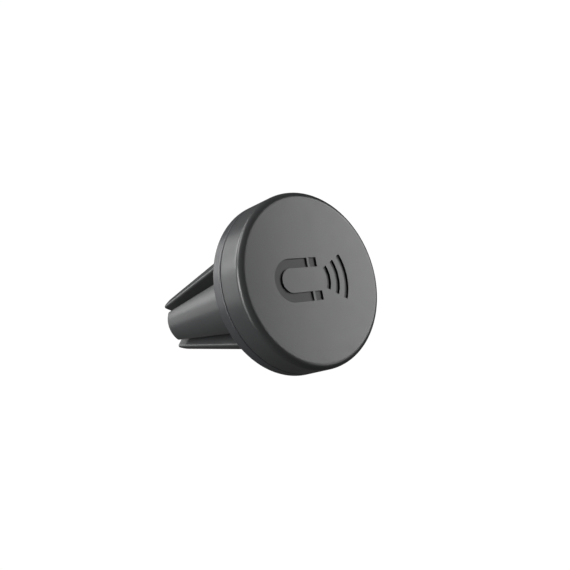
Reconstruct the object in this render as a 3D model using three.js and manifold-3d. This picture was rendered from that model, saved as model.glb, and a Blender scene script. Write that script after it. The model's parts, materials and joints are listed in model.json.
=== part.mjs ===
// Magnetic phone mount for a car's air vent: a round magnetic head on a four-pronged louvre clip.
// Units are millimetres, +Z is up and +Y points back into the vent. Pieces are drawn with y = 0 at the
// head's back wall, and the whole is then moved so that the origin lies where the clip grips the louvre.
import * as THREE from "three";
import { mergeVertices } from "three/addons/utils/BufferGeometryUtils.js";
import Module from "manifold-3d";

const wasm = await Module();
wasm.setup();

// ---- driving dimensions ----------------------------------------------------------------------
const HEAD_RADIUS = 20;
const HEAD_DEPTH = 9.8;
const FRONT_FILLET = 1.45; // rounding between the magnetic face and the side
const BACK_FILLET = 0.45;
const SEAM_DEPTH = 3.05; // seam between the two covers, measured from the head's back
const SEAM_GAP = 0.2;
const SEAM_CHAMFER = 0.15;
const SEAM_ROUNDING = 0.42; // rear cover's edge at the seam
const SIDE_WALL = 1.5;
const FACE_WALL = 1.2;
const BACK_WALL = 1.6;
const CLEARANCE = 0.3; // gap between pieces that touch in the real object
const THIN_GAP = 0.2;

// Engraved pictogram: a horseshoe magnet lying on its side, and three waves in front of its poles.
const MARK_DEPTH = 0.35;
const HORSESHOE = { centre: -6.2, outer: 4.8, inner: 2.7, leg: 5.2, poleGap: 0.6, pole: 2.1 };
const WAVES = { centre: -0.9, radii: [5.3, 7.9, 10.5], stroke: 1.1, spread: THREE.MathUtils.degToRad(28) };

const MAGNET = { count: 6, radius: 4, thickness: 2.4, circle: 11 };
const TRAY_THICKNESS = 3.2;
const TRAY_FLOOR = 0.6;
const TRAY_HOLE = 5;
const YOKE_THICKNESS = 0.8;
const CASE_SCREW = { count: 3, circle: 14.4, shank: 1, head: 2, headHeight: 1, bossRadius: 2.1 };

const SPINDLE_RADIUS = 4;
const SPINDLE_BORE = 4.3; // hole in the back wall that the spindle turns in
const SPINDLE_END = -3; // front end of the spindle, inside the head
const PIVOT_SCREW = { shank: 1.4, bore: 1.6, head: 3.2, headHeight: 1.4, tip: 4 };

const GRIP_STATION = 26; // louvre position behind the head
const CLIP_TURN = THREE.MathUtils.degToRad(11); // clip turned anticlockwise, seen from the front
const CLIP_RISE = 0.5; // the clip's own centre line above the swivel axis
const BASE = { front: 0.4, back: 5.6, frontRadius: 14.4, backRadius: 14.1, fillet: 1.3 };
const PRONG_ROOT = 6.2;
// Prongs above and below are fins, those at the sides are rounder lobes. Each pair holds the value at the
// root and at the tip: the outer face's radius and centre, and the side wall's distance to the slot's middle.
const PRONG = {
  fin: { length: 40.3, radius: [16.2, 11.5], centre: [-2.9, -4], gap: [2.05, 0.17] },
  lobe: { length: 38.8, radius: [8.4, 5.85], centre: [5.2, 2.35], gap: [1, 0.9] },
};
const SLOT_ANGLE = THREE.MathUtils.degToRad(37); // slots above and below the lobes' middle plane
const EDGE_ROUNDING = 0.5; // along both sides of a prong's outer face
const TIP_ROUNDING = 0.6;
// Stiff finger inside each prong: width, thickness and distance from the centre line, at root and tip.
const CORE = { root: 5.9, tip: 34, width: [5, 2.6], thickness: [2.6, 1.6], out: [8.6, 5.8] };

const ROUND = 64; // facets on the large round pieces
const SMALL_ROUND = 32;
const ARC_STEPS = 14; // facets across a prong's outer face

// ---- materials -------------------------------------------------------------------------------
function finish(color, roughness, metalness) {
  return new THREE.MeshStandardMaterial({ color, roughness, metalness });
}

const SOFT_TOUCH = finish(0x3f4042, 0.62, 0);
const HARD_PLASTIC = finish(0x404245, 0.5, 0);
const INNER_PLASTIC = finish(0x2a2a2c, 0.55, 0);
const GRIP_RUBBER = finish(0x3b3c3e, 0.7, 0);
const NICKEL = finish(0xc8c8c6, 0.25, 1);
const STEEL = finish(0x9a9c9e, 0.4, 1);
const POLYMER_WASHER = finish(0xd8d6cc, 0.5, 0);

// ---- solids ----------------------------------------------------------------------------------
function toSolid(geometry) {
  const bare = geometry.clone();
  bare.deleteAttribute("normal");
  bare.deleteAttribute("uv");
  const merged = mergeVertices(bare, 1e-5);
  const index = merged.index.array;
  const kept = [];
  for (let i = 0; i < index.length; i += 3) {
    const [a, b, c] = [index[i], index[i + 1], index[i + 2]];
    if (a !== b && b !== c && c !== a) kept.push(a, b, c);
  }
  const vertProperties = Float32Array.from(merged.attributes.position.array);
  return new wasm.Manifold(new wasm.Mesh({ numProp: 3, vertProperties, triVerts: Uint32Array.from(kept) }));
}

function toGeometry(solid) {
  const mesh = solid.getMesh();
  const geometry = new THREE.BufferGeometry();
  geometry.setAttribute("position", new THREE.BufferAttribute(Float32Array.from(mesh.vertProperties), 3));
  geometry.setIndex(new THREE.BufferAttribute(Uint32Array.from(mesh.triVerts), 1));
  return geometry;
}

function piece(name, solid, material) {
  const mesh = new THREE.Mesh(toGeometry(solid), material);
  mesh.name = name;
  return mesh;
}

// A solid turned about the Y axis. The profile runs as [radius, y] pairs from low y to high y on the outside.
function turned(profile, facets = ROUND) {
  const points = profile.map(([radius, y]) => new THREE.Vector2(radius, y));
  return toSolid(new THREE.LatheGeometry(points, facets));
}

function disc(radius, low, high, facets = SMALL_ROUND) {
  return turned([[0, low], [radius, low], [radius, high], [0, high]], facets);
}

function ring(inner, outer, low, high, facets = ROUND) {
  return turned([[inner, low], [outer, low], [outer, high], [inner, high], [inner, low]], facets);
}

// Quarter-round profile points about (radius, y), from one angle to another.
function arcPoints(radius, y, size, from, to, steps = 5) {
  return Array.from({ length: steps + 1 }, (_, i) => {
    const angle = THREE.MathUtils.lerp(from, to, i / steps);
    return [radius + size * Math.cos(angle), y + size * Math.sin(angle)];
  });
}

// Moves a solid to a place on a circle round the Y axis, angle 0 on +X.
function onCircle(solid, circle, angle) {
  return solid.translate([circle * Math.cos(angle), 0, circle * Math.sin(angle)]);
}

const turnAngle = (i, count, start = 0) => start + (i * 2 * Math.PI) / count;

// An outline in the x-z plane drawn out along +Y between two stations.
function extrudedAlongY(shape, low, high) {
  const options = { depth: high - low, bevelEnabled: false, curveSegments: 10 };
  const geometry = new THREE.ExtrudeGeometry(shape, options);
  geometry.rotateX(Math.PI / 2);
  geometry.translate(0, high, 0);
  return toSolid(geometry);
}

// A solid through a row of sections { y, outline }, whose outlines have the same number of points.
function lofted(sections) {
  const base = sections[0].outline;
  const steps = sections.length - 1;
  const shape = new THREE.Shape(base.map(([x, z]) => new THREE.Vector2(x, z)));
  const geometry = new THREE.ExtrudeGeometry(shape, { depth: steps, steps, bevelEnabled: false });
  const position = geometry.attributes.position;
  for (let i = 0; i < position.count; i += 1) {
    const [x, z] = [position.getX(i), position.getY(i)];
    const section = sections[Math.round(position.getZ(i))];
    const corner = base.findIndex((point) => Math.hypot(point[0] - x, point[1] - z) < 1e-4);
    const [newX, newZ] = section.outline[corner];
    position.setXYZ(i, newX, section.y, newZ);
  }
  const { array } = position;
  for (let i = 0; i < array.length; i += 9) {
    for (let k = 0; k < 3; k += 1) {
      [array[i + k], array[i + 3 + k]] = [array[i + 3 + k], array[i + k]];
    }
  }
  return toSolid(geometry);
}

// ---- the head --------------------------------------------------------------------------------
const FACE = -HEAD_DEPTH;
const SEAM_FRONT = -SEAM_DEPTH - SEAM_GAP / 2;
const SEAM_BACK = -SEAM_DEPTH + SEAM_GAP / 2;
const COVER_BORE = HEAD_RADIUS - SIDE_WALL;
const TRAY_RADIUS = COVER_BORE - CLEARANCE;
const TRAY_FRONT = FACE + FACE_WALL + THIN_GAP;
const TRAY_BACK = TRAY_FRONT + TRAY_THICKNESS;
const TONGUE_FRONT = TRAY_BACK + CLEARANCE;
const TONGUE_INNER = TRAY_RADIUS - 1.3;
const YOKE_FRONT = TRAY_BACK + THIN_GAP;
const YOKE_BACK = YOKE_FRONT + YOKE_THICKNESS;
const YOKE_RADIUS = TONGUE_INNER - 0.5;
const BOSS_FRONT = YOKE_BACK + THIN_GAP;
const screwAngle = (i) => turnAngle(i, CASE_SCREW.count, Math.PI / 6);
const magnetAngle = (i) => turnAngle(i, MAGNET.count);

function horseshoeOutline() {
  const { centre, outer, inner, leg } = HORSESHOE;
  const shape = new THREE.Shape();
  shape.moveTo(centre + leg, outer);
  shape.absarc(centre, 0, outer, Math.PI / 2, (3 * Math.PI) / 2);
  shape.lineTo(centre + leg, -outer);
  shape.lineTo(centre + leg, -inner);
  shape.absarc(centre, 0, inner, (3 * Math.PI) / 2, Math.PI / 2, true);
  shape.lineTo(centre + leg, inner);
  return shape;
}

function poleOutline(side) {
  const { centre, outer, inner, leg, poleGap, pole } = HORSESHOE;
  const left = centre + leg + poleGap;
  const corners = [[left, inner], [left + pole, inner], [left + pole, outer], [left, outer]];
  return new THREE.Shape(corners.map(([x, z]) => new THREE.Vector2(x, side * z)));
}

function waveOutline(radius) {
  const { centre, stroke, spread } = WAVES;
  const shape = new THREE.Shape();
  shape.absarc(centre, 0, radius + stroke / 2, -spread, spread);
  shape.absarc(centre, 0, radius - stroke / 2, spread, -spread, true);
  return shape;
}

function markCutter() {
  const outlines = [horseshoeOutline(), poleOutline(1), poleOutline(-1), ...WAVES.radii.map(waveOutline)];
  const cutters = outlines.map((outline) => extrudedAlongY(outline, FACE - 1, FACE + MARK_DEPTH));
  return cutters.reduce((joined, cutter) => joined.add(cutter));
}

function frontCover() {
  const rim = HEAD_RADIUS - SEAM_CHAMFER;
  const profile = [
    [0, FACE],
    ...arcPoints(HEAD_RADIUS - FRONT_FILLET, FACE + FRONT_FILLET, FRONT_FILLET, -Math.PI / 2, 0, 6),
    [HEAD_RADIUS, SEAM_FRONT - SEAM_CHAMFER],
    [rim, SEAM_FRONT],
    [COVER_BORE, SEAM_FRONT],
    [COVER_BORE, FACE + FACE_WALL],
    [0, FACE + FACE_WALL],
  ];
  return piece("front_cover", turned(profile).subtract(markCutter()), SOFT_TOUCH);
}

function rearCover() {
  const profile = [
    [SPINDLE_BORE, -BACK_WALL],
    [TONGUE_INNER, -BACK_WALL],
    [TONGUE_INNER, TONGUE_FRONT],
    [TRAY_RADIUS, TONGUE_FRONT],
    [TRAY_RADIUS, SEAM_BACK],
    ...arcPoints(HEAD_RADIUS - SEAM_ROUNDING, SEAM_BACK + SEAM_ROUNDING, SEAM_ROUNDING, -Math.PI / 2, 0, 3),
    ...arcPoints(HEAD_RADIUS - BACK_FILLET, -BACK_FILLET, BACK_FILLET, 0, Math.PI / 2, 3),
    [SPINDLE_BORE, 0],
    [SPINDLE_BORE, -BACK_WALL],
  ];
  let solid = turned(profile);
  for (let i = 0; i < CASE_SCREW.count; i += 1) {
    const boss = disc(CASE_SCREW.bossRadius, BOSS_FRONT, -BACK_WALL / 2);
    const hole = disc(CASE_SCREW.shank + THIN_GAP, BOSS_FRONT - 1, -BACK_WALL - 0.5, 24);
    solid = solid.add(onCircle(boss, CASE_SCREW.circle, screwAngle(i)));
    solid = solid.subtract(onCircle(hole, CASE_SCREW.circle, screwAngle(i)));
  }
  return piece("rear_cover", solid, HARD_PLASTIC);
}

function magnetTray() {
  let solid = ring(TRAY_HOLE, TRAY_RADIUS, TRAY_FRONT, TRAY_BACK);
  for (let i = 0; i < MAGNET.count; i += 1) {
    const pocket = disc(MAGNET.radius + CLEARANCE, TRAY_FRONT + TRAY_FLOOR, TRAY_BACK + 1);
    solid = solid.subtract(onCircle(pocket, MAGNET.circle, magnetAngle(i)));
  }
  for (let i = 0; i < CASE_SCREW.count; i += 1) {
    const hole = disc(CASE_SCREW.shank + CLEARANCE, TRAY_FRONT - 1, TRAY_BACK + 1, 24);
    const seatFloor = TRAY_FRONT + CASE_SCREW.headHeight + THIN_GAP;
    const seat = disc(CASE_SCREW.head + CLEARANCE, TRAY_FRONT - 1, seatFloor);
    solid = solid.subtract(onCircle(hole.add(seat), CASE_SCREW.circle, screwAngle(i)));
  }
  return piece("magnet_tray", solid, INNER_PLASTIC);
}

function magnets() {
  const high = TRAY_BACK - THIN_GAP / 2;
  const low = high - MAGNET.thickness;
  const bevel = 0.25;
  const [flat, rim] = [MAGNET.radius - bevel, MAGNET.radius];
  const profile = [[0, low], [flat, low], [rim, low + bevel], [rim, high - bevel], [flat, high], [0, high]];
  return Array.from({ length: MAGNET.count }, (_, i) => {
    const solid = turned(profile, SMALL_ROUND);
    return piece(`magnet_${i + 1}`, onCircle(solid, MAGNET.circle, magnetAngle(i)), NICKEL);
  });
}

function yokePlate() {
  let solid = ring(TRAY_HOLE, YOKE_RADIUS, YOKE_FRONT, YOKE_BACK);
  for (let i = 0; i < CASE_SCREW.count; i += 1) {
    const hole = disc(CASE_SCREW.shank + CLEARANCE, YOKE_FRONT - 1, YOKE_BACK + 1, 24);
    solid = solid.subtract(onCircle(hole, CASE_SCREW.circle, screwAngle(i)));
  }
  return piece("yoke_plate", solid, STEEL);
}

// Two crossed bars that cut a screw's drive recess, opening towards -Y.
function crossRecess(face, size, depth) {
  const bar = (width, height) => {
    return toSolid(new THREE.BoxGeometry(width, 2 * depth, height)).translate([0, face, 0]);
  };
  return bar(size, size / 4).add(bar(size / 4, size));
}

function panHeadScrew(face, headRadius, headHeight, shank, tip, facets) {
  const seat = face + headHeight;
  const crown = headHeight * 0.55;
  const profile = [
    [0, face],
    [headRadius * 0.55, face],
    [headRadius * 0.88, face + crown * 0.4],
    [headRadius, face + crown],
    [headRadius, seat],
    [shank, seat],
    [shank, tip - shank],
    [shank * 0.3, tip],
    [0, tip],
  ];
  return turned(profile, facets).subtract(crossRecess(face, headRadius * 1.1, headHeight * 0.5));
}

function caseScrews() {
  const face = TRAY_FRONT + THIN_GAP / 2;
  return Array.from({ length: CASE_SCREW.count }, (_, i) => {
    const { head, headHeight, shank, circle } = CASE_SCREW;
    const solid = panHeadScrew(face, head, headHeight, shank, -BACK_WALL - 0.8, 24);
    return piece(`case_screw_${i + 1}`, onCircle(solid, circle, screwAngle(i)), STEEL);
  });
}

// ---- the swivel ------------------------------------------------------------------------------
const FRICTION_WASHER = { inner: 4.3, outer: 7.4, front: -2.1, back: -1.7 };
const WAVE_WASHER = { inner: 4.3, outer: 6.8, middle: -2.55, thickness: 0.25, swing: 0.17, waves: 3 };
const CAP_WASHER = { inner: 1.8, outer: 7.2, front: -3.7, back: -3.1 };

// A spring washer pressed into waves: a flat ring whose points move along Y as they go round.
function waveWasher() {
  const { inner, outer, middle, thickness, swing, waves } = WAVE_WASHER;
  const half = thickness / 2;
  const corners = [[inner, -half], [outer, -half], [outer, half], [inner, half], [inner, -half]];
  const profile = corners.map(([radius, y]) => new THREE.Vector2(radius, y));
  const geometry = new THREE.LatheGeometry(profile, ROUND);
  const position = geometry.attributes.position;
  for (let i = 0; i < position.count; i += 1) {
    const angle = Math.atan2(position.getZ(i), position.getX(i));
    position.setY(i, position.getY(i) + middle + swing * Math.cos(waves * angle));
  }
  return piece("wave_washer", toSolid(geometry), STEEL);
}

function swivelStack() {
  const { inner, outer, front, back } = FRICTION_WASHER;
  const capWasher = ring(CAP_WASHER.inner, CAP_WASHER.outer, CAP_WASHER.front, CAP_WASHER.back);
  const { head, headHeight, shank, tip } = PIVOT_SCREW;
  const face = CAP_WASHER.front - 0.1 - headHeight;
  return [
    piece("friction_washer", ring(inner, outer, front, back), POLYMER_WASHER),
    waveWasher(),
    piece("cap_washer", capWasher, STEEL),
    piece("pivot_screw", panHeadScrew(face, head, headHeight, shank, tip, SMALL_ROUND), STEEL),
  ];
}

// ---- the clip --------------------------------------------------------------------------------
// Flange and spindle. The flange shares the prongs' centre line, the spindle lies on the swivel axis.
function clipBase() {
  const { front, back, frontRadius, backRadius, fillet } = BASE;
  const flange = turned([
    [0, front],
    ...arcPoints(frontRadius - fillet, front + fillet, fillet, -Math.PI / 2, 0, 4),
    [backRadius, back],
    [0, back],
  ]).translate([0, 0, CLIP_RISE]);
  const spindle = disc(SPINDLE_RADIUS, SPINDLE_END, (front + back) / 2, ROUND);
  const bore = disc(PIVOT_SCREW.bore, SPINDLE_END - 1, PIVOT_SCREW.tip + THIN_GAP, 24);
  return piece("clip_base", flange.add(spindle).subtract(bore), HARD_PLASTIC);
}

// Where a line of the given slope and offset meets the circle of this radius about (centre, 0).
function wallCorner(centre, radius, slope, offset) {
  const a = 1 + slope * slope;
  const b = slope * offset - centre;
  const x = (-b + Math.sqrt(b * b - a * (centre * centre + offset * offset - radius * radius))) / a;
  return [x, slope * x + offset];
}

// One prong section, outer face towards +X: an arc between two straight walls that meet near the centre,
// with rounded corners between arc and walls.
function prongOutline(kind, station) {
  const spec = PRONG[kind];
  const along = (station - PRONG_ROOT) / (spec.length - PRONG_ROOT);
  const between = ([root, tip]) => THREE.MathUtils.lerp(root, tip, along);
  const [centre, radius, gap] = [between(spec.centre), between(spec.radius), between(spec.gap)];
  const halfAngle = kind === "lobe" ? SLOT_ANGLE : Math.PI / 2 - SLOT_ANGLE;
  const wallOffset = -(gap + EDGE_ROUNDING) / Math.cos(halfAngle);
  const [x, z] = wallCorner(centre, radius - EDGE_ROUNDING, Math.tan(halfAngle), wallOffset);
  const spread = Math.atan2(z, x - centre);
  const wallSide = halfAngle + Math.PI / 2;
  return [
    [gap / Math.sin(halfAngle), 0],
    ...arcPoints(x, -z, EDGE_ROUNDING, -wallSide, -spread, 3),
    ...arcPoints(centre, 0, radius, -spread, spread, ARC_STEPS).slice(1, -1),
    ...arcPoints(x, z, EDGE_ROUNDING, spread, wallSide, 3),
  ];
}

// Draws an outline in towards its middle by a distance.
function inset(outline, distance) {
  const middleX = outline.reduce((sum, [x]) => sum + x, 0) / outline.length;
  return outline.map(([x, z]) => {
    const length = Math.hypot(x - middleX, z);
    const keep = Math.max(0.2, 1 - distance / length);
    return [middleX + (x - middleX) * keep, z * keep];
  });
}

// The whole prong body, with a rounded tip.
function prongBody(kind) {
  const { length } = PRONG[kind];
  const sections = [{ y: PRONG_ROOT, outline: prongOutline(kind, PRONG_ROOT) }];
  for (const angle of [0, 30, 60, 90].map(THREE.MathUtils.degToRad)) {
    const station = length - TIP_ROUNDING * (1 - Math.sin(angle));
    const drawnIn = TIP_ROUNDING * (1 - Math.cos(angle)) * 0.9;
    sections.push({ y: station, outline: inset(prongOutline(kind, station), drawnIn) });
  }
  return lofted(sections);
}

// The stiff finger inside a prong, or its pocket when grown by a clearance.
function coreFinger(grow, root) {
  const end = (i) => {
    const [w, t] = [CORE.width[i] / 2 + grow, CORE.thickness[i] / 2 + grow];
    const [low, high] = [CORE.out[i] - t, CORE.out[i] + t];
    return [[low, -w], [high, -w], [high, w], [low, w]];
  };
  return lofted([{ y: root, outline: end(0) }, { y: CORE.tip + grow, outline: end(1) }]);
}

// Core and grip sleeve of one prong, drawn towards +X and then turned to its place.
function prong(place, kind, angle) {
  const pocket = coreFinger(CLEARANCE, PRONG_ROOT - 1);
  const turn = (0 - angle) * THREE.MathUtils.RAD2DEG;
  const sleeve = prongBody(kind).subtract(pocket).rotate([0, turn, 0]);
  const core = coreFinger(0, CORE.root).rotate([0, turn, 0]);
  return [
    piece(`prong_core_${place}`, core, INNER_PLASTIC),
    piece(`grip_sleeve_${place}`, sleeve, GRIP_RUBBER),
  ];
}

function prongs() {
  const group = new THREE.Group();
  group.position.z = CLIP_RISE;
  group.add(...prong("right", "lobe", 0));
  group.add(...prong("top", "fin", Math.PI / 2));
  group.add(...prong("left", "lobe", Math.PI));
  group.add(...prong("bottom", "fin", (3 * Math.PI) / 2));
  return group;
}

// ---- assembly --------------------------------------------------------------------------------
const head = new THREE.Group();
head.add(frontCover(), rearCover(), magnetTray(), yokePlate(), ...magnets(), ...caseScrews());

const clip = new THREE.Group();
clip.rotation.y = -CLIP_TURN;
clip.add(clipBase(), prongs(), ...swivelStack());

const mount = new THREE.Group();
mount.position.y = -GRIP_STATION;
mount.add(head, clip);

export default mount;
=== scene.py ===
import json
import math

import bmesh
import bpy
from mathutils import Matrix, Vector

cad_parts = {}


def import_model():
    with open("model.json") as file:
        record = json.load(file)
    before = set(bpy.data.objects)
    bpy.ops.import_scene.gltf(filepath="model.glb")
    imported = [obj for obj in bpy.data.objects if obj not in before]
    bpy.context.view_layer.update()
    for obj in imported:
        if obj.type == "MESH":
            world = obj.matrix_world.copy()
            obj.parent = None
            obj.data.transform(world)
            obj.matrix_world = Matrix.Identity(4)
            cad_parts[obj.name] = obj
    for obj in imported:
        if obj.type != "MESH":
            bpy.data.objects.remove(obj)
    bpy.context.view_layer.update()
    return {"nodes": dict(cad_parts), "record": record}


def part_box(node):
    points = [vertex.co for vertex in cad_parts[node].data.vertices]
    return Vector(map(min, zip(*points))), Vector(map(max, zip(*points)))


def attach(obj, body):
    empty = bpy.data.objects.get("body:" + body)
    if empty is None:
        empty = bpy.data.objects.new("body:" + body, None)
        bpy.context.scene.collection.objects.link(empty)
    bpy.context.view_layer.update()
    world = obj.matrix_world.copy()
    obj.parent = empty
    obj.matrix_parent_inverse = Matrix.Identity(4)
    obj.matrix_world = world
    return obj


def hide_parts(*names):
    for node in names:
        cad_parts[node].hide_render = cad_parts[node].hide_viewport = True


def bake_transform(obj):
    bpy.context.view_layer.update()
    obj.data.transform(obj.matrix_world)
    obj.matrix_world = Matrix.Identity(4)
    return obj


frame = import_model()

MM = 0.001
CLEARANCE = 0.3 * MM  # between pieces that touch in the real object

# ---- sizes: those of the CAD nodes, read from the frame ------------------------------------------
HEAD_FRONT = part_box("front_cover")[0].y
SEAM_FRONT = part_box("front_cover")[1].y
HEAD_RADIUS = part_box("front_cover")[1].x
HEAD_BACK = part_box("rear_cover")[1].y
TONGUE_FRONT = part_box("magnet_tray")[1].y + CLEARANCE
TRAY_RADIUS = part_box("magnet_tray")[1].x
BOSS_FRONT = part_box("rear_cover")[0].y
SPINDLE_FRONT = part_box("clip_base")[0].y
BASE_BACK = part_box("clip_base")[1].y

# ---- sizes that a node's box doesn't tell: the CAD's, with finer edges ---------------------------
SEAM_GAP = 0.2 * MM
SEAM_CHAMFER = 0.16 * MM
SEAM_ROUNDING = 0.42 * MM  # rear cover's edge at the seam
FRONT_FILLET = 1.45 * MM
BACK_FILLET = 0.45 * MM
SIDE_WALL = 1.5 * MM
FACE_WALL = 1.2 * MM
BACK_WALL = 1.6 * MM
TONGUE_WALL = 1.3 * MM
SPINDLE_BORE = 4.3 * MM
BORE_ROUNDING = 0.2 * MM
SUPPORT = 0.3 * MM  # extra profile points this far from a rounding keep the wall beside it flat
BOSS_CIRCLE = 14.4 * MM
BOSS_RADIUS = 2.1 * MM
BOSS_BORE = 1.2 * MM

MARK_DEPTH = 0.35 * MM
HORSESHOE = {"centre": -6.2 * MM, "outer": 4.8 * MM, "inner": 2.7 * MM, "leg": 5.2 * MM}
POLE = {"gap": 0.6 * MM, "length": 2.1 * MM}
WAVES = {"centre": -0.9 * MM, "radii": (5.3 * MM, 7.9 * MM, 10.5 * MM), "stroke": 1.1 * MM}
WAVE_SPREAD = math.radians(28)
MARK_EDGE = 0.1 * MM  # rounding of the engraved edges
MARK_REACH = 14 * MM  # the engraving lies within this distance of the head's axis

CLIP_TURN = math.radians(11)
CLIP_RISE = 0.5 * MM  # the clip's centre line above the swivel axis
SPINDLE_RADIUS = 4 * MM
SCREW_BORE = 1.6 * MM
SCREW_BORE_END = 4.2 * MM
BASE_FRONT = 0.4 * MM  # behind the head's back, as PRONG_ROOT and every length of a prong
BASE_RADII = (14.4 * MM, 14.1 * MM)  # at the front and at the back
BASE_FILLET = 1.3 * MM
BASE_CHAMFER = 0.12 * MM
BASE_SUPPORT = 0.25 * MM
SLOT_ANGLE = math.radians(37)  # slots above and below the lobes' middle plane
PRONG_ROOT = 6.2 * MM
# Pairs are the values at the root and at the tip: the outer face's radius and centre, and the distance
# of the side wall to the slot's middle.
PRONGS = {
    "fin": {
        "length": 40.3 * MM,
        "radius": (16.2 * MM, 11.5 * MM),
        "centre": (-2.9 * MM, -4 * MM),
        "gap": (2.05 * MM, 0.17 * MM),
        "tip_rounding": 0.45 * MM,
    },
    "lobe": {
        "length": 38.8 * MM,
        "radius": (8.4 * MM, 5.85 * MM),
        "centre": (5.2 * MM, 2.35 * MM),
        "gap": (1 * MM, 0.9 * MM),
        "tip_rounding": 0.6 * MM,
    },
}
CORE = {
    "tip": 34 * MM,
    "width": (5 * MM, 2.6 * MM),
    "thickness": (2.6 * MM, 1.6 * MM),
    "out": (8.6 * MM, 5.8 * MM),
}
SIDE_ROUNDING = 0.5 * MM  # edges between a prong's outer face and its side walls
APEX_ROUNDING = 0.25 * MM  # inner edge, where its side walls meet
ROOT_GAP = 0.12 * MM  # between the clip base and a prong's skin
# kind of prong, and its place round the clip in degrees
PLACES = {"right": ("lobe", 0), "top": ("fin", 90), "left": ("lobe", 180), "bottom": ("fin", 270)}


# ---- mesh helpers --------------------------------------------------------------------------------
def lerp(pair, t):
    return pair[0] + (pair[1] - pair[0]) * t


def arc(centre, radius, start, end, steps):
    """Points on an arc about centre, both ends included. Angles in radians."""
    angles = [start + (end - start) * i / steps for i in range(steps + 1)]
    return [(centre[0] + radius * math.cos(a), centre[1] + radius * math.sin(a)) for a in angles]


def mesh_object(name, vertices, faces):
    """A new object whose faces all look outwards."""
    mesh = bpy.data.meshes.new(name)
    mesh.from_pydata([tuple(v) for v in vertices], [], faces)
    work = bmesh.new()
    work.from_mesh(mesh)
    bmesh.ops.recalc_face_normals(work, faces=work.faces)
    work.to_mesh(mesh)
    work.free()
    obj = bpy.data.objects.new(name, mesh)
    bpy.context.collection.objects.link(obj)
    return obj


def revolve(name, profile, steps=224, closed=False, centre=(0, 0)):
    """Turns a profile of (radius, y) about a line along Y.

    An open profile gets flat ends, a closed one makes a ring.
    """
    vertices = []
    for radius, y in profile:
        for i in range(steps):
            angle = 2 * math.pi * i / steps
            x, z = radius * math.cos(angle), radius * math.sin(angle)
            vertices.append((centre[0] + x, y, centre[1] + z))
    count = len(profile)
    faces = []
    for ring in range(count if closed else count - 1):
        a, b = ring * steps, (ring + 1) % count * steps
        for i in range(steps):
            j = (i + 1) % steps
            faces.append((a + i, a + j, b + j, b + i))
    if not closed:
        faces.append(tuple(range(steps)))
        faces.append(tuple((count - 1) * steps + i for i in range(steps)))
    return mesh_object(name, vertices, faces)


def prism(name, outline, low, high):
    """An outline of (x, z) points drawn out along Y."""
    count = len(outline)
    vertices = [(x, low, z) for x, z in outline] + [(x, high, z) for x, z in outline]
    sides = [(i, (i + 1) % count, count + (i + 1) % count, count + i) for i in range(count)]
    return mesh_object(name, vertices, [*sides, tuple(range(count)), tuple(range(count, 2 * count))])


def loft(name, sections):
    """A closed skin over sections (y, outline), all with the same number of points."""
    count = len(sections[0][1])
    vertices = [(x, y, z) for y, outline in sections for x, z in outline]
    faces = []
    for s in range(len(sections) - 1):
        for i in range(count):
            j = (i + 1) % count
            faces.append((s * count + i, s * count + j, (s + 1) * count + j, (s + 1) * count + i))
    last = (len(sections) - 1) * count
    faces += [tuple(range(count)), tuple(last + i for i in range(count))]
    return mesh_object(name, vertices, faces)


def apply_modifiers(obj):
    depsgraph = bpy.context.evaluated_depsgraph_get()
    obj.data = bpy.data.meshes.new_from_object(obj.evaluated_get(depsgraph))
    obj.modifiers.clear()


def boolean(obj, tools, operation="DIFFERENCE"):
    """Cuts or joins obj with the tools, which are then removed."""
    for tool in tools:
        modifier = obj.modifiers.new("boolean", "BOOLEAN")
        modifier.operation = operation
        modifier.solver = "EXACT"
        modifier.object = tool
    apply_modifiers(obj)
    for tool in tools:
        bpy.data.objects.remove(tool)


def bevel(obj, width):
    modifier = obj.modifiers.new("bevel", "BEVEL")
    modifier.width = width
    modifier.segments = 3
    modifier.limit_method = "ANGLE"
    modifier.angle_limit = math.radians(60)
    apply_modifiers(obj)


def smooth(obj):
    """Smooth shading with crisp edges, and normals that keep large flat faces flat."""
    obj.data.shade_smooth()
    obj.data.set_sharp_from_angle(angle=math.radians(32))
    weighted = obj.modifiers.new("weighted_normals", "WEIGHTED_NORMAL")
    weighted.keep_sharp = True
    weighted.weight = 100


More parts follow.
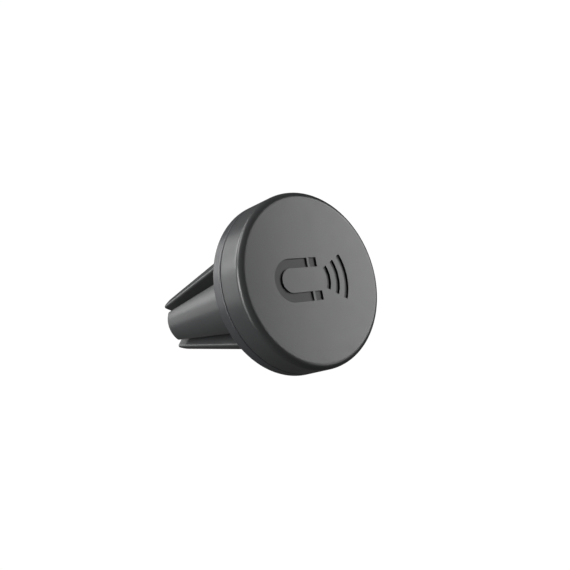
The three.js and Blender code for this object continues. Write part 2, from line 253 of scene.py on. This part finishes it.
# ---- materials -----------------------------------------------------------------------------------
class Nodes:
    """A material's node tree, with short calls to add and join nodes."""

    def __init__(self, name):
        self.material = bpy.data.materials.new(name)
        self.material.use_nodes = True
        self.tree = self.material.node_tree
        self.shader = self.tree.nodes["Principled BSDF"]
        self.place = self.add("ShaderNodeTexCoord").outputs["Object"]

    def add(self, kind, **settings):
        node = self.tree.nodes.new(kind)
        for key, value in settings.items():
            setattr(node, key, value)
        return node

    def join(self, source, target):
        self.tree.links.new(source, target)

    def noise(self, size, detail=4.0, roughness=0.5, squash=(1, 1, 1)):
        """Noise whose features are about size metres across."""
        mapping = self.add("ShaderNodeMapping")
        mapping.inputs["Scale"].default_value = squash
        texture = self.add("ShaderNodeTexNoise")
        texture.inputs["Scale"].default_value = 1 / size
        texture.inputs["Detail"].default_value = detail
        texture.inputs["Roughness"].default_value = roughness
        self.join(self.place, mapping.inputs["Vector"])
        self.join(mapping.outputs["Vector"], texture.inputs["Vector"])
        return texture.outputs["Fac"]

    def spread(self, value, low, high, from_low=0.3, from_high=0.7):
        """Maps a noise value onto the range low to high."""
        node = self.add("ShaderNodeMapRange")
        node.inputs["From Min"].default_value = from_low
        node.inputs["From Max"].default_value = from_high
        node.inputs["To Min"].default_value = low
        node.inputs["To Max"].default_value = high
        self.join(value, node.inputs["Value"])
        return node.outputs["Result"]

    def colours(self, value, first, second, from_low=0.3, from_high=0.7):
        """Maps a noise value onto the range between two colours."""
        ramp = self.add("ShaderNodeValToRGB")
        ramp.color_ramp.elements[0].position = from_low
        ramp.color_ramp.elements[1].position = from_high
        ramp.color_ramp.elements[0].color = (*first, 1)
        ramp.color_ramp.elements[1].color = (*second, 1)
        self.join(value, ramp.inputs["Fac"])
        return ramp.outputs["Color"]

    def calculate(self, operation, first, second):
        """A sum, product or comparison of two sockets or numbers."""
        node = self.add("ShaderNodeMath", operation=operation)
        for socket, value in zip(node.inputs, (first, second)):
            if isinstance(value, (int, float)):
                socket.default_value = value
            else:
                self.join(value, socket)
        return node.outputs[0]

    def recess_shade_mask(self, depth):
        """1 in the engraving, 0 elsewhere: deeper than depth and within the mark's reach. It marks
        where the engraving's painted shade goes.
        """
        split = self.add("ShaderNodeSeparateXYZ")
        self.join(self.place, split.inputs["Vector"])
        deep = self.calculate("GREATER_THAN", split.outputs["Y"], HEAD_FRONT + depth)
        shallow = self.calculate("LESS_THAN", split.outputs["Y"], HEAD_FRONT + FACE_WALL / 2)
        across = self.calculate("MULTIPLY", split.outputs["X"], split.outputs["X"])
        upwards = self.calculate("MULTIPLY", split.outputs["Z"], split.outputs["Z"])
        distance_squared = self.calculate("ADD", across, upwards)
        central = self.calculate("LESS_THAN", distance_squared, MARK_REACH**2)
        return self.calculate("MULTIPLY", self.calculate("MULTIPLY", deep, shallow), central)

    def blend_colours(self, mask, first, second):
        """The socket first where mask is 0, the colour second where it is 1."""
        node = self.add("ShaderNodeMix", data_type="RGBA")
        self.join(mask, node.inputs["Factor"])
        self.join(first, node.inputs[6])
        node.inputs[7].default_value = (*second, 1)
        return node.outputs[2]

    def blend_values(self, mask, first, second):
        """The socket first where mask is 0, the number second where it is 1."""
        node = self.add("ShaderNodeMix")
        self.join(mask, node.inputs["Factor"])
        self.join(first, node.inputs[2])
        node.inputs[3].default_value = second
        return node.outputs[0]

    def bump(self, layers):
        """Stacks bumps: (height value, depth in metres) pairs, coarse ones first."""
        last = None
        for height, depth in layers:
            node = self.add("ShaderNodeBump")
            node.inputs["Strength"].default_value = 1.0
            node.inputs["Distance"].default_value = depth
            self.join(height, node.inputs["Height"])
            if last:
                self.join(last, node.inputs["Normal"])
            last = node.outputs["Normal"]
        self.join(last, self.shader.inputs["Normal"])


def shaded(colour, factor):
    return tuple(c * factor for c in colour)


CLOUD_SIZE = 9 * MM  # faint patches in a plastic's colour
GLOSS_SIZE = 3 * MM  # faint patches in its roughness
GLOSS_VARIATION = 0.015
SINK_SIZE = 2.5 * MM  # shallow unevenness of a moulded wall
SINK_DEPTH = 1.5e-6
SCRATCH_SIZE = 0.4 * MM
SCRATCH_DEPTH = 3e-6
STAIN_SIZE = 2 * MM


def moulded(name, colour, roughness, grain, grain_depth, contrast=0.05, recess=None):
    """Moulded plastic or rubber: fine spark-eroded grain, faint cloudiness in colour and gloss.

    With recess, what lies deeper than its depth below the face gets the recess's roughness and a
    darker colour: painted shade in the engraving.
    """
    nodes = Nodes(name)
    cloud = nodes.noise(CLOUD_SIZE, 3)
    fine = nodes.noise(grain, 3, 0.65)
    tint = nodes.colours(cloud, shaded(colour, 1 - contrast), shaded(colour, 1 + contrast))
    patches = nodes.noise(GLOSS_SIZE, 5)
    gloss = nodes.spread(patches, roughness - GLOSS_VARIATION, roughness + GLOSS_VARIATION)
    if recess:
        # painted shade: the engraving is darkened as if in shadow, and it also gets its own roughness
        shaded_recess = nodes.recess_shade_mask(recess["depth"])
        tint = nodes.blend_colours(shaded_recess, tint, shaded(colour, recess["painted_shade"]))
        gloss = nodes.blend_values(shaded_recess, gloss, recess["roughness"])
    nodes.join(tint, nodes.shader.inputs["Base Color"])
    nodes.join(gloss, nodes.shader.inputs["Roughness"])
    nodes.bump([(nodes.noise(SINK_SIZE, 2), SINK_DEPTH), (fine, grain_depth)])
    return nodes.material


def plated(name, colour, roughness, scratch_squash):
    """Plated or rolled metal with fine directional scratches and slight tarnish."""
    nodes = Nodes(name)
    scratches = nodes.noise(SCRATCH_SIZE, 6, 0.7, scratch_squash)
    stain = nodes.noise(STAIN_SIZE, 4)
    tint = nodes.colours(stain, shaded(colour, 0.86), colour)
    gloss = nodes.spread(scratches, roughness - 0.07, roughness + 0.1)
    nodes.join(tint, nodes.shader.inputs["Base Color"])
    nodes.join(gloss, nodes.shader.inputs["Roughness"])
    nodes.bump([(scratches, SCRATCH_DEPTH)])
    nodes.shader.inputs["Metallic"].default_value = 1.0
    return nodes.material


SOFT_TOUCH = (0.046, 0.0475, 0.0485)
HARD_GREY = (0.046, 0.0475, 0.051)
GRIP_GREY = (0.048, 0.0495, 0.0505)
INNER_BLACK = (0.03, 0.03, 0.032)
# Painted shade in the engraved mark: deeper than depth, the face's colour is darkened to 0.65 and its
# roughness is set to 0.5.
MARK_FLOOR_SHADE = {"depth": 0.05 * MM, "painted_shade": 0.65, "roughness": 0.5}

MATERIALS = {
    "soft_touch": moulded("soft_touch", SOFT_TOUCH, 0.3, 0.16 * MM, 1.5e-6, recess=MARK_FLOOR_SHADE),
    "hard_plastic": moulded("hard_plastic", HARD_GREY, 0.3, 0.12 * MM, 1.2e-6),
    "grip_rubber": moulded("grip_rubber", GRIP_GREY, 0.32, 0.2 * MM, 3e-6),
    "inner_plastic": moulded("inner_plastic", INNER_BLACK, 0.5, 0.3 * MM, 6e-6, contrast=0.12),
    "nickel": plated("nickel", (0.62, 0.61, 0.58), 0.2, (1, 1, 1)),
    "steel": plated("steel", (0.45, 0.46, 0.47), 0.38, (0.15, 1, 3)),
    "washer_polymer": moulded("washer_polymer", (0.7, 0.69, 0.62), 0.45, 0.2 * MM, 5e-6),
}


def paint(obj, slot):
    """Gives an object the material of its slot."""
    obj.data.materials.clear()
    obj.data.materials.append(MATERIALS[slot])


def finish_piece(obj, slot, nodes, body=None):
    """Gives a new piece its material and shading, hides the CAD nodes it stands for and hangs it on
    its body, if it has one.
    """
    paint(obj, slot)
    smooth(obj)
    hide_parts(*nodes)
    if body:
        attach(obj, body)


# ---- the head ------------------------------------------------------------------------------------
def horseshoe_outline():
    centre, outer, inner = (HORSESHOE["centre"], 0), HORSESHOE["outer"], HORSESHOE["inner"]
    end = HORSESHOE["centre"] + HORSESHOE["leg"]
    around = arc(centre, outer, math.pi / 2, 3 * math.pi / 2, 40)
    back = arc(centre, inner, 3 * math.pi / 2, math.pi / 2, 30)
    return [(end, outer), *around, (end, -outer), (end, -inner), *back, (end, inner)]


def pole_outline(side):
    left = HORSESHOE["centre"] + HORSESHOE["leg"] + POLE["gap"]
    right = left + POLE["length"]
    low, high = sorted((side * HORSESHOE["inner"], side * HORSESHOE["outer"]))
    return [(left, low), (right, low), (right, high), (left, high)]


def wave_outline(radius):
    centre, half = (WAVES["centre"], 0), WAVES["stroke"] / 2
    outer = arc(centre, radius + half, -WAVE_SPREAD, WAVE_SPREAD, 24)
    return outer + arc(centre, radius - half, WAVE_SPREAD, -WAVE_SPREAD, 24)


def front_cover():
    """A cap with a flat face, a rounded edge and the engraved mark."""
    bore = HEAD_RADIUS - SIDE_WALL
    flat = HEAD_RADIUS - FRONT_FILLET
    fillet = arc((flat, HEAD_FRONT + FRONT_FILLET), FRONT_FILLET, -math.pi / 2, 0, 14)
    chamfer = SEAM_FRONT - SEAM_CHAMFER
    profile = [
        (flat - SUPPORT, HEAD_FRONT),
        *fillet,
        (HEAD_RADIUS, HEAD_FRONT + FRONT_FILLET + SUPPORT),
        (HEAD_RADIUS, chamfer - SUPPORT),
        *arc((HEAD_RADIUS - SEAM_CHAMFER, chamfer), SEAM_CHAMFER, 0, math.pi / 2, 4),
        (bore, SEAM_FRONT),
        (bore, HEAD_FRONT + FACE_WALL),
    ]
    obj = revolve("front_cover_skin", profile)
    waves = [wave_outline(radius) for radius in WAVES["radii"]]
    outlines = [horseshoe_outline(), pole_outline(1), pole_outline(-1), *waves]
    cutters = []
    for i, outline in enumerate(outlines):
        cutters.append(prism(f"cutter_{i}", outline, HEAD_FRONT - MM, HEAD_FRONT + MARK_DEPTH))
    boolean(obj, cutters)
    bevel(obj, MARK_EDGE)
    finish_piece(obj, "soft_touch", ["front_cover"], "head")


def rear_cover():
    """A ring with the head's back wall, a tongue into the front cover and three screw bosses."""
    seam_back = SEAM_FRONT + SEAM_GAP
    wall_front = HEAD_BACK - BACK_WALL
    tongue_inner = TRAY_RADIUS - TONGUE_WALL
    seam_edge = (HEAD_RADIUS - SEAM_ROUNDING, seam_back + SEAM_ROUNDING)
    back_edge = (HEAD_RADIUS - BACK_FILLET, HEAD_BACK - BACK_FILLET)
    bore_edge = (SPINDLE_BORE + BORE_ROUNDING, HEAD_BACK - BORE_ROUNDING)
    profile = [
        (SPINDLE_BORE, wall_front),
        (tongue_inner, wall_front),
        (tongue_inner, TONGUE_FRONT),
        (TRAY_RADIUS, TONGUE_FRONT),
        (TRAY_RADIUS, seam_back),
        *arc(seam_edge, SEAM_ROUNDING, -math.pi / 2, 0, 8),
        (HEAD_RADIUS, seam_back + SEAM_ROUNDING + SUPPORT),
        (HEAD_RADIUS, HEAD_BACK - BACK_FILLET - SUPPORT),
        *arc(back_edge, BACK_FILLET, 0, math.pi / 2, 8),
        (HEAD_RADIUS - BACK_FILLET - SUPPORT, HEAD_BACK),
        (SPINDLE_BORE + SUPPORT, HEAD_BACK),
        *arc(bore_edge, BORE_ROUNDING, math.pi / 2, math.pi, 3),
    ]
    obj = revolve("rear_cover_skin", profile, closed=True)
    bosses, bores = [], []
    for i in range(3):
        angle = math.pi / 6 + i * 2 * math.pi / 3
        centre = (BOSS_CIRCLE * math.cos(angle), BOSS_CIRCLE * math.sin(angle))
        boss = [(BOSS_RADIUS, BOSS_FRONT), (BOSS_RADIUS, HEAD_BACK - BACK_WALL / 2)]
        bore = [(BOSS_BORE, BOSS_FRONT - MM), (BOSS_BORE, HEAD_BACK - BACK_WALL - 0.5 * MM)]
        bosses.append(revolve(f"boss_{i}", boss, 48, centre=centre))
        bores.append(revolve(f"bore_{i}", bore, 48, centre=centre))
    boolean(obj, bosses, "UNION")
    boolean(obj, bores)
    finish_piece(obj, "hard_plastic", ["rear_cover"], "head")


# ---- the clip ------------------------------------------------------------------------------------
def clip_base():
    """A flange, centred on the prongs, with the spindle of the swivel and its screw bore."""
    low = HEAD_BACK + BASE_FRONT
    front_radius, back_radius = BASE_RADII
    centre = (-CLIP_RISE * math.sin(CLIP_TURN), CLIP_RISE * math.cos(CLIP_TURN))
    flange = [
        (front_radius - BASE_FILLET - BASE_SUPPORT, low),
        *arc((front_radius - BASE_FILLET, low + BASE_FILLET), BASE_FILLET, -math.pi / 2, 0, 10),
        (lerp(BASE_RADII, 0.1), low + BASE_FILLET + BASE_SUPPORT),
        (back_radius + 0.02 * MM, BASE_BACK - BASE_CHAMFER),
        (back_radius - 0.1 * MM, BASE_BACK),
    ]
    obj = revolve("clip_base_skin", flange, centre=centre)
    spindle = [(SPINDLE_RADIUS, SPINDLE_FRONT), (SPINDLE_RADIUS, (low + BASE_BACK) / 2)]
    bore = [(SCREW_BORE, SPINDLE_FRONT - MM), (SCREW_BORE, HEAD_BACK + SCREW_BORE_END)]
    boolean(obj, [revolve("spindle", spindle, 96)], "UNION")
    boolean(obj, [revolve("screw_bore", bore, 48)])
    finish_piece(obj, "hard_plastic", ["clip_base"], "clip")


def wall_meets_circle(centre, radius, half_angle, gap):
    """Where a prong's upper side wall meets the circle about (centre, 0).

    The wall lies gap away from the slot's middle plane.
    """
    slope, offset = math.tan(half_angle), -gap / math.cos(half_angle)
    a, b = 1 + slope * slope, slope * offset - centre
    x = (-b + math.sqrt(b * b - a * (centre * centre + offset * offset - radius * radius))) / a
    return x, slope * x + offset


def prong_outline(kind, station, inset=0.0):
    """A prong's section with three rounded edges, outer face towards +X, drawn in by inset."""
    spec = PRONGS[kind]
    along = (station - PRONG_ROOT) / (spec["length"] - PRONG_ROOT)
    centre = lerp(spec["centre"], along)
    radius = lerp(spec["radius"], along) - inset
    gap = lerp(spec["gap"], along) + inset
    half_angle = SLOT_ANGLE if kind == "lobe" else math.pi / 2 - SLOT_ANGLE
    side, apex = SIDE_ROUNDING, APEX_ROUNDING
    corner = wall_meets_circle(centre, radius - side, half_angle, gap + side)
    spread = math.atan2(corner[1], corner[0] - centre)
    wall_side = half_angle + math.pi / 2
    middle = ((gap + apex) / math.sin(half_angle), 0)
    upper = [
        *arc((centre, 0), radius, 0, spread, 16)[:-1],
        *arc(corner, side, spread, wall_side, 8),
        *arc(middle, apex, wall_side, math.pi, 4),
    ]
    return upper + [(x, -z) for x, z in reversed(upper[1:-1])]


def prong_sections(kind):
    """Sections from the clip base to the rounded tip, closest at the root."""
    root = BASE_BACK - HEAD_BACK + ROOT_GAP
    rounding = PRONGS[kind]["tip_rounding"]
    start = PRONGS[kind]["length"] - rounding
    count = 40
    sections = []
    for i in range(count + 1):
        station = root + (start - root) * (i / count) ** 1.35
        sections.append((station, prong_outline(kind, station)))
    turns = 8
    for i in range(1, turns + 1):
        angle = i / turns * math.pi / 2
        station = start + rounding * math.sin(angle)
        sections.append((station, prong_outline(kind, station, rounding * (1 - math.cos(angle)))))
    return sections


def core_pocket():
    """The room for a prong's core, for a prong that lies towards +X."""
    sections = []
    for i, station in enumerate((PRONG_ROOT - MM, CORE["tip"] + CLEARANCE)):
        half_width = CORE["width"][i] / 2 + CLEARANCE
        half_thickness = CORE["thickness"][i] / 2 + CLEARANCE
        low, high = CORE["out"][i] - half_thickness, CORE["out"][i] + half_thickness
        outline = [(low, -half_width), (high, -half_width), (high, half_width), (low, half_width)]
        sections.append((station, outline))
    return loft("pocket", sections)


def grip_sleeve(place):
    """A prong's soft grip, with a pocket for its core, turned to its place round the clip."""
    kind, degrees = PLACES[place]
    obj = loft(f"grip_sleeve_{place}_skin", prong_sections(kind))
    boolean(obj, [core_pocket()])
    angle = math.radians(degrees) + CLIP_TURN
    rise = Vector((-CLIP_RISE * math.sin(CLIP_TURN), HEAD_BACK, CLIP_RISE * math.cos(CLIP_TURN)))
    obj.data.transform(Matrix.Translation(rise) @ Matrix.Rotation(-angle, 4, "Y"))
    finish_piece(obj, "grip_rubber", [f"grip_sleeve_{place}"])
    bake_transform(obj)


def paint_carried_nodes():
    """Materials for the CAD nodes that stay as they are, by the record's slots."""
    slots = {part["node"]: part["material_slot"] for part in frame["record"]["subparts"]}
    for name, obj in frame["nodes"].items():
        if not obj.hide_render:
            paint(obj, slots[name])


# ---- stage, lights and camera --------------------------------------------------------------------
CAMERA = {
    "azimuth": -40.61,
    "elevation": -6.94,
    "roll": -11.32,
    "distance": 0.19,
    "lens": 52.82,
    "shift": (-0.0018, 0.0062),
}
LIGHTS = (
    # name, azimuth and elevation in degrees as seen from the head, energy in watts
    ("left_high", -90, 50, 0.9),
    ("left", -90, 10, 1.6),
    ("left_low", -98, -16, 0.5),
    ("right", 60, 10, 0.56),
    ("front_right", 45, 10, 0.48),
    ("front_right_low", 45, -15, 0.32),
    ("back_left", -137, 10, 0.22),
    ("back_left_high", -137, 37, 0.95),
    ("back_left_top", -140, 60, 0.35),
    ("back", -167, 28, 0.2),
    ("back_low", -163, 13, 0.12),
)
SOFTBOX_WIDTH = 0.13
SOFTBOX_HEIGHT = 0.25
SOFTBOX_DISTANCE = 0.5
FLOOR_DROP = 0.16
STAGE_RADIUS = 1.6
STAGE_GLOW = 1.02
WORLD_STRENGTH = 0.06
WHITE = (1, 1, 1)


def direction(azimuth, elevation):
    """Unit vector from the object, azimuth 0 towards -Y and 90 towards +X, in degrees."""
    a, e = math.radians(azimuth), math.radians(elevation)
    return Vector((math.sin(a) * math.cos(e), -math.cos(a) * math.cos(e), math.sin(e)))


def camera():
    """A camera that looks at the back of the head, rolled about its line of sight."""
    back = direction(CAMERA["azimuth"], CAMERA["elevation"])
    right = Vector((0, 0, 1)).cross(back).normalized()
    up = back.cross(right)
    roll = math.radians(CAMERA["roll"])
    turned_right = right * math.cos(roll) + up * math.sin(roll)
    turned_up = up * math.cos(roll) - right * math.sin(roll)
    data = bpy.data.cameras.new("camera")
    data.lens = CAMERA["lens"]
    data.sensor_width = 36
    data.shift_x, data.shift_y = CAMERA["shift"]
    data.clip_start = 0.01
    data.clip_end = 10
    obj = bpy.data.objects.new("camera", data)
    bpy.context.collection.objects.link(obj)
    rotation = Matrix((turned_right, turned_up, back)).transposed().to_4x4()
    place = Vector((0, HEAD_BACK, 0)) + back * CAMERA["distance"]
    obj.matrix_world = Matrix.Translation(place) @ rotation
    bpy.context.scene.camera = obj


def softbox(name, azimuth, elevation, energy):
    """A tall area light that faces the back of the head."""
    data = bpy.data.lights.new(name, "AREA")
    data.shape = "RECTANGLE"
    data.size = SOFTBOX_WIDTH
    data.size_y = SOFTBOX_HEIGHT
    data.energy = energy
    obj = bpy.data.objects.new(name, data)
    bpy.context.collection.objects.link(obj)
    towards = direction(azimuth, elevation)
    obj.location = Vector((0, HEAD_BACK, 0)) + towards * SOFTBOX_DISTANCE
    obj.rotation_mode = "QUATERNION"
    obj.rotation_quaternion = towards.to_track_quat("Z", "Y")


def glowing(name):
    """A white material that gives off its own light, so no shadow or shade falls on it."""
    material = bpy.data.materials.new(name)
    material.use_nodes = True
    tree = material.node_tree
    tree.nodes.clear()
    emission = tree.nodes.new("ShaderNodeEmission")
    emission.inputs["Color"].default_value = (*WHITE, 1)
    emission.inputs["Strength"].default_value = STAGE_GLOW
    output = tree.nodes.new("ShaderNodeOutputMaterial")
    tree.links.new(emission.outputs["Emission"], output.inputs["Surface"])
    return material


def backdrop():
    """A white drum round the set, and a white floor well below the part, which a vent holds up."""
    drum = revolve("backdrop", [(STAGE_RADIUS, -STAGE_RADIUS), (STAGE_RADIUS, STAGE_RADIUS)], 64)
    drum.rotation_euler = (math.pi / 2, 0, 0)
    drum.data.materials.append(glowing("backdrop_white"))
    reach = STAGE_RADIUS
    corners = [(-reach, -reach), (reach, -reach), (reach, reach), (-reach, reach)]
    floor = mesh_object("floor", [(x, y, -FLOOR_DROP) for x, y in corners], [(0, 1, 2, 3)])
    floor.data.materials.append(glowing("floor_white"))
    for obj in (drum, floor):
        obj.visible_diffuse = False
        obj.visible_glossy = False
        obj.visible_shadow = False


def world():
    node_world = bpy.data.worlds.new("studio")
    node_world.use_nodes = True
    background = node_world.node_tree.nodes["Background"]
    background.inputs["Color"].default_value = (*WHITE, 1)
    background.inputs["Strength"].default_value = WORLD_STRENGTH
    bpy.context.scene.world = node_world


front_cover()
rear_cover()
clip_base()
for prong_place in PLACES:
    grip_sleeve(prong_place)
paint_carried_nodes()

camera()
for settings in LIGHTS:
    softbox(*settings)
backdrop()
world()
bpy.context.scene.view_settings.view_transform = "Standard"
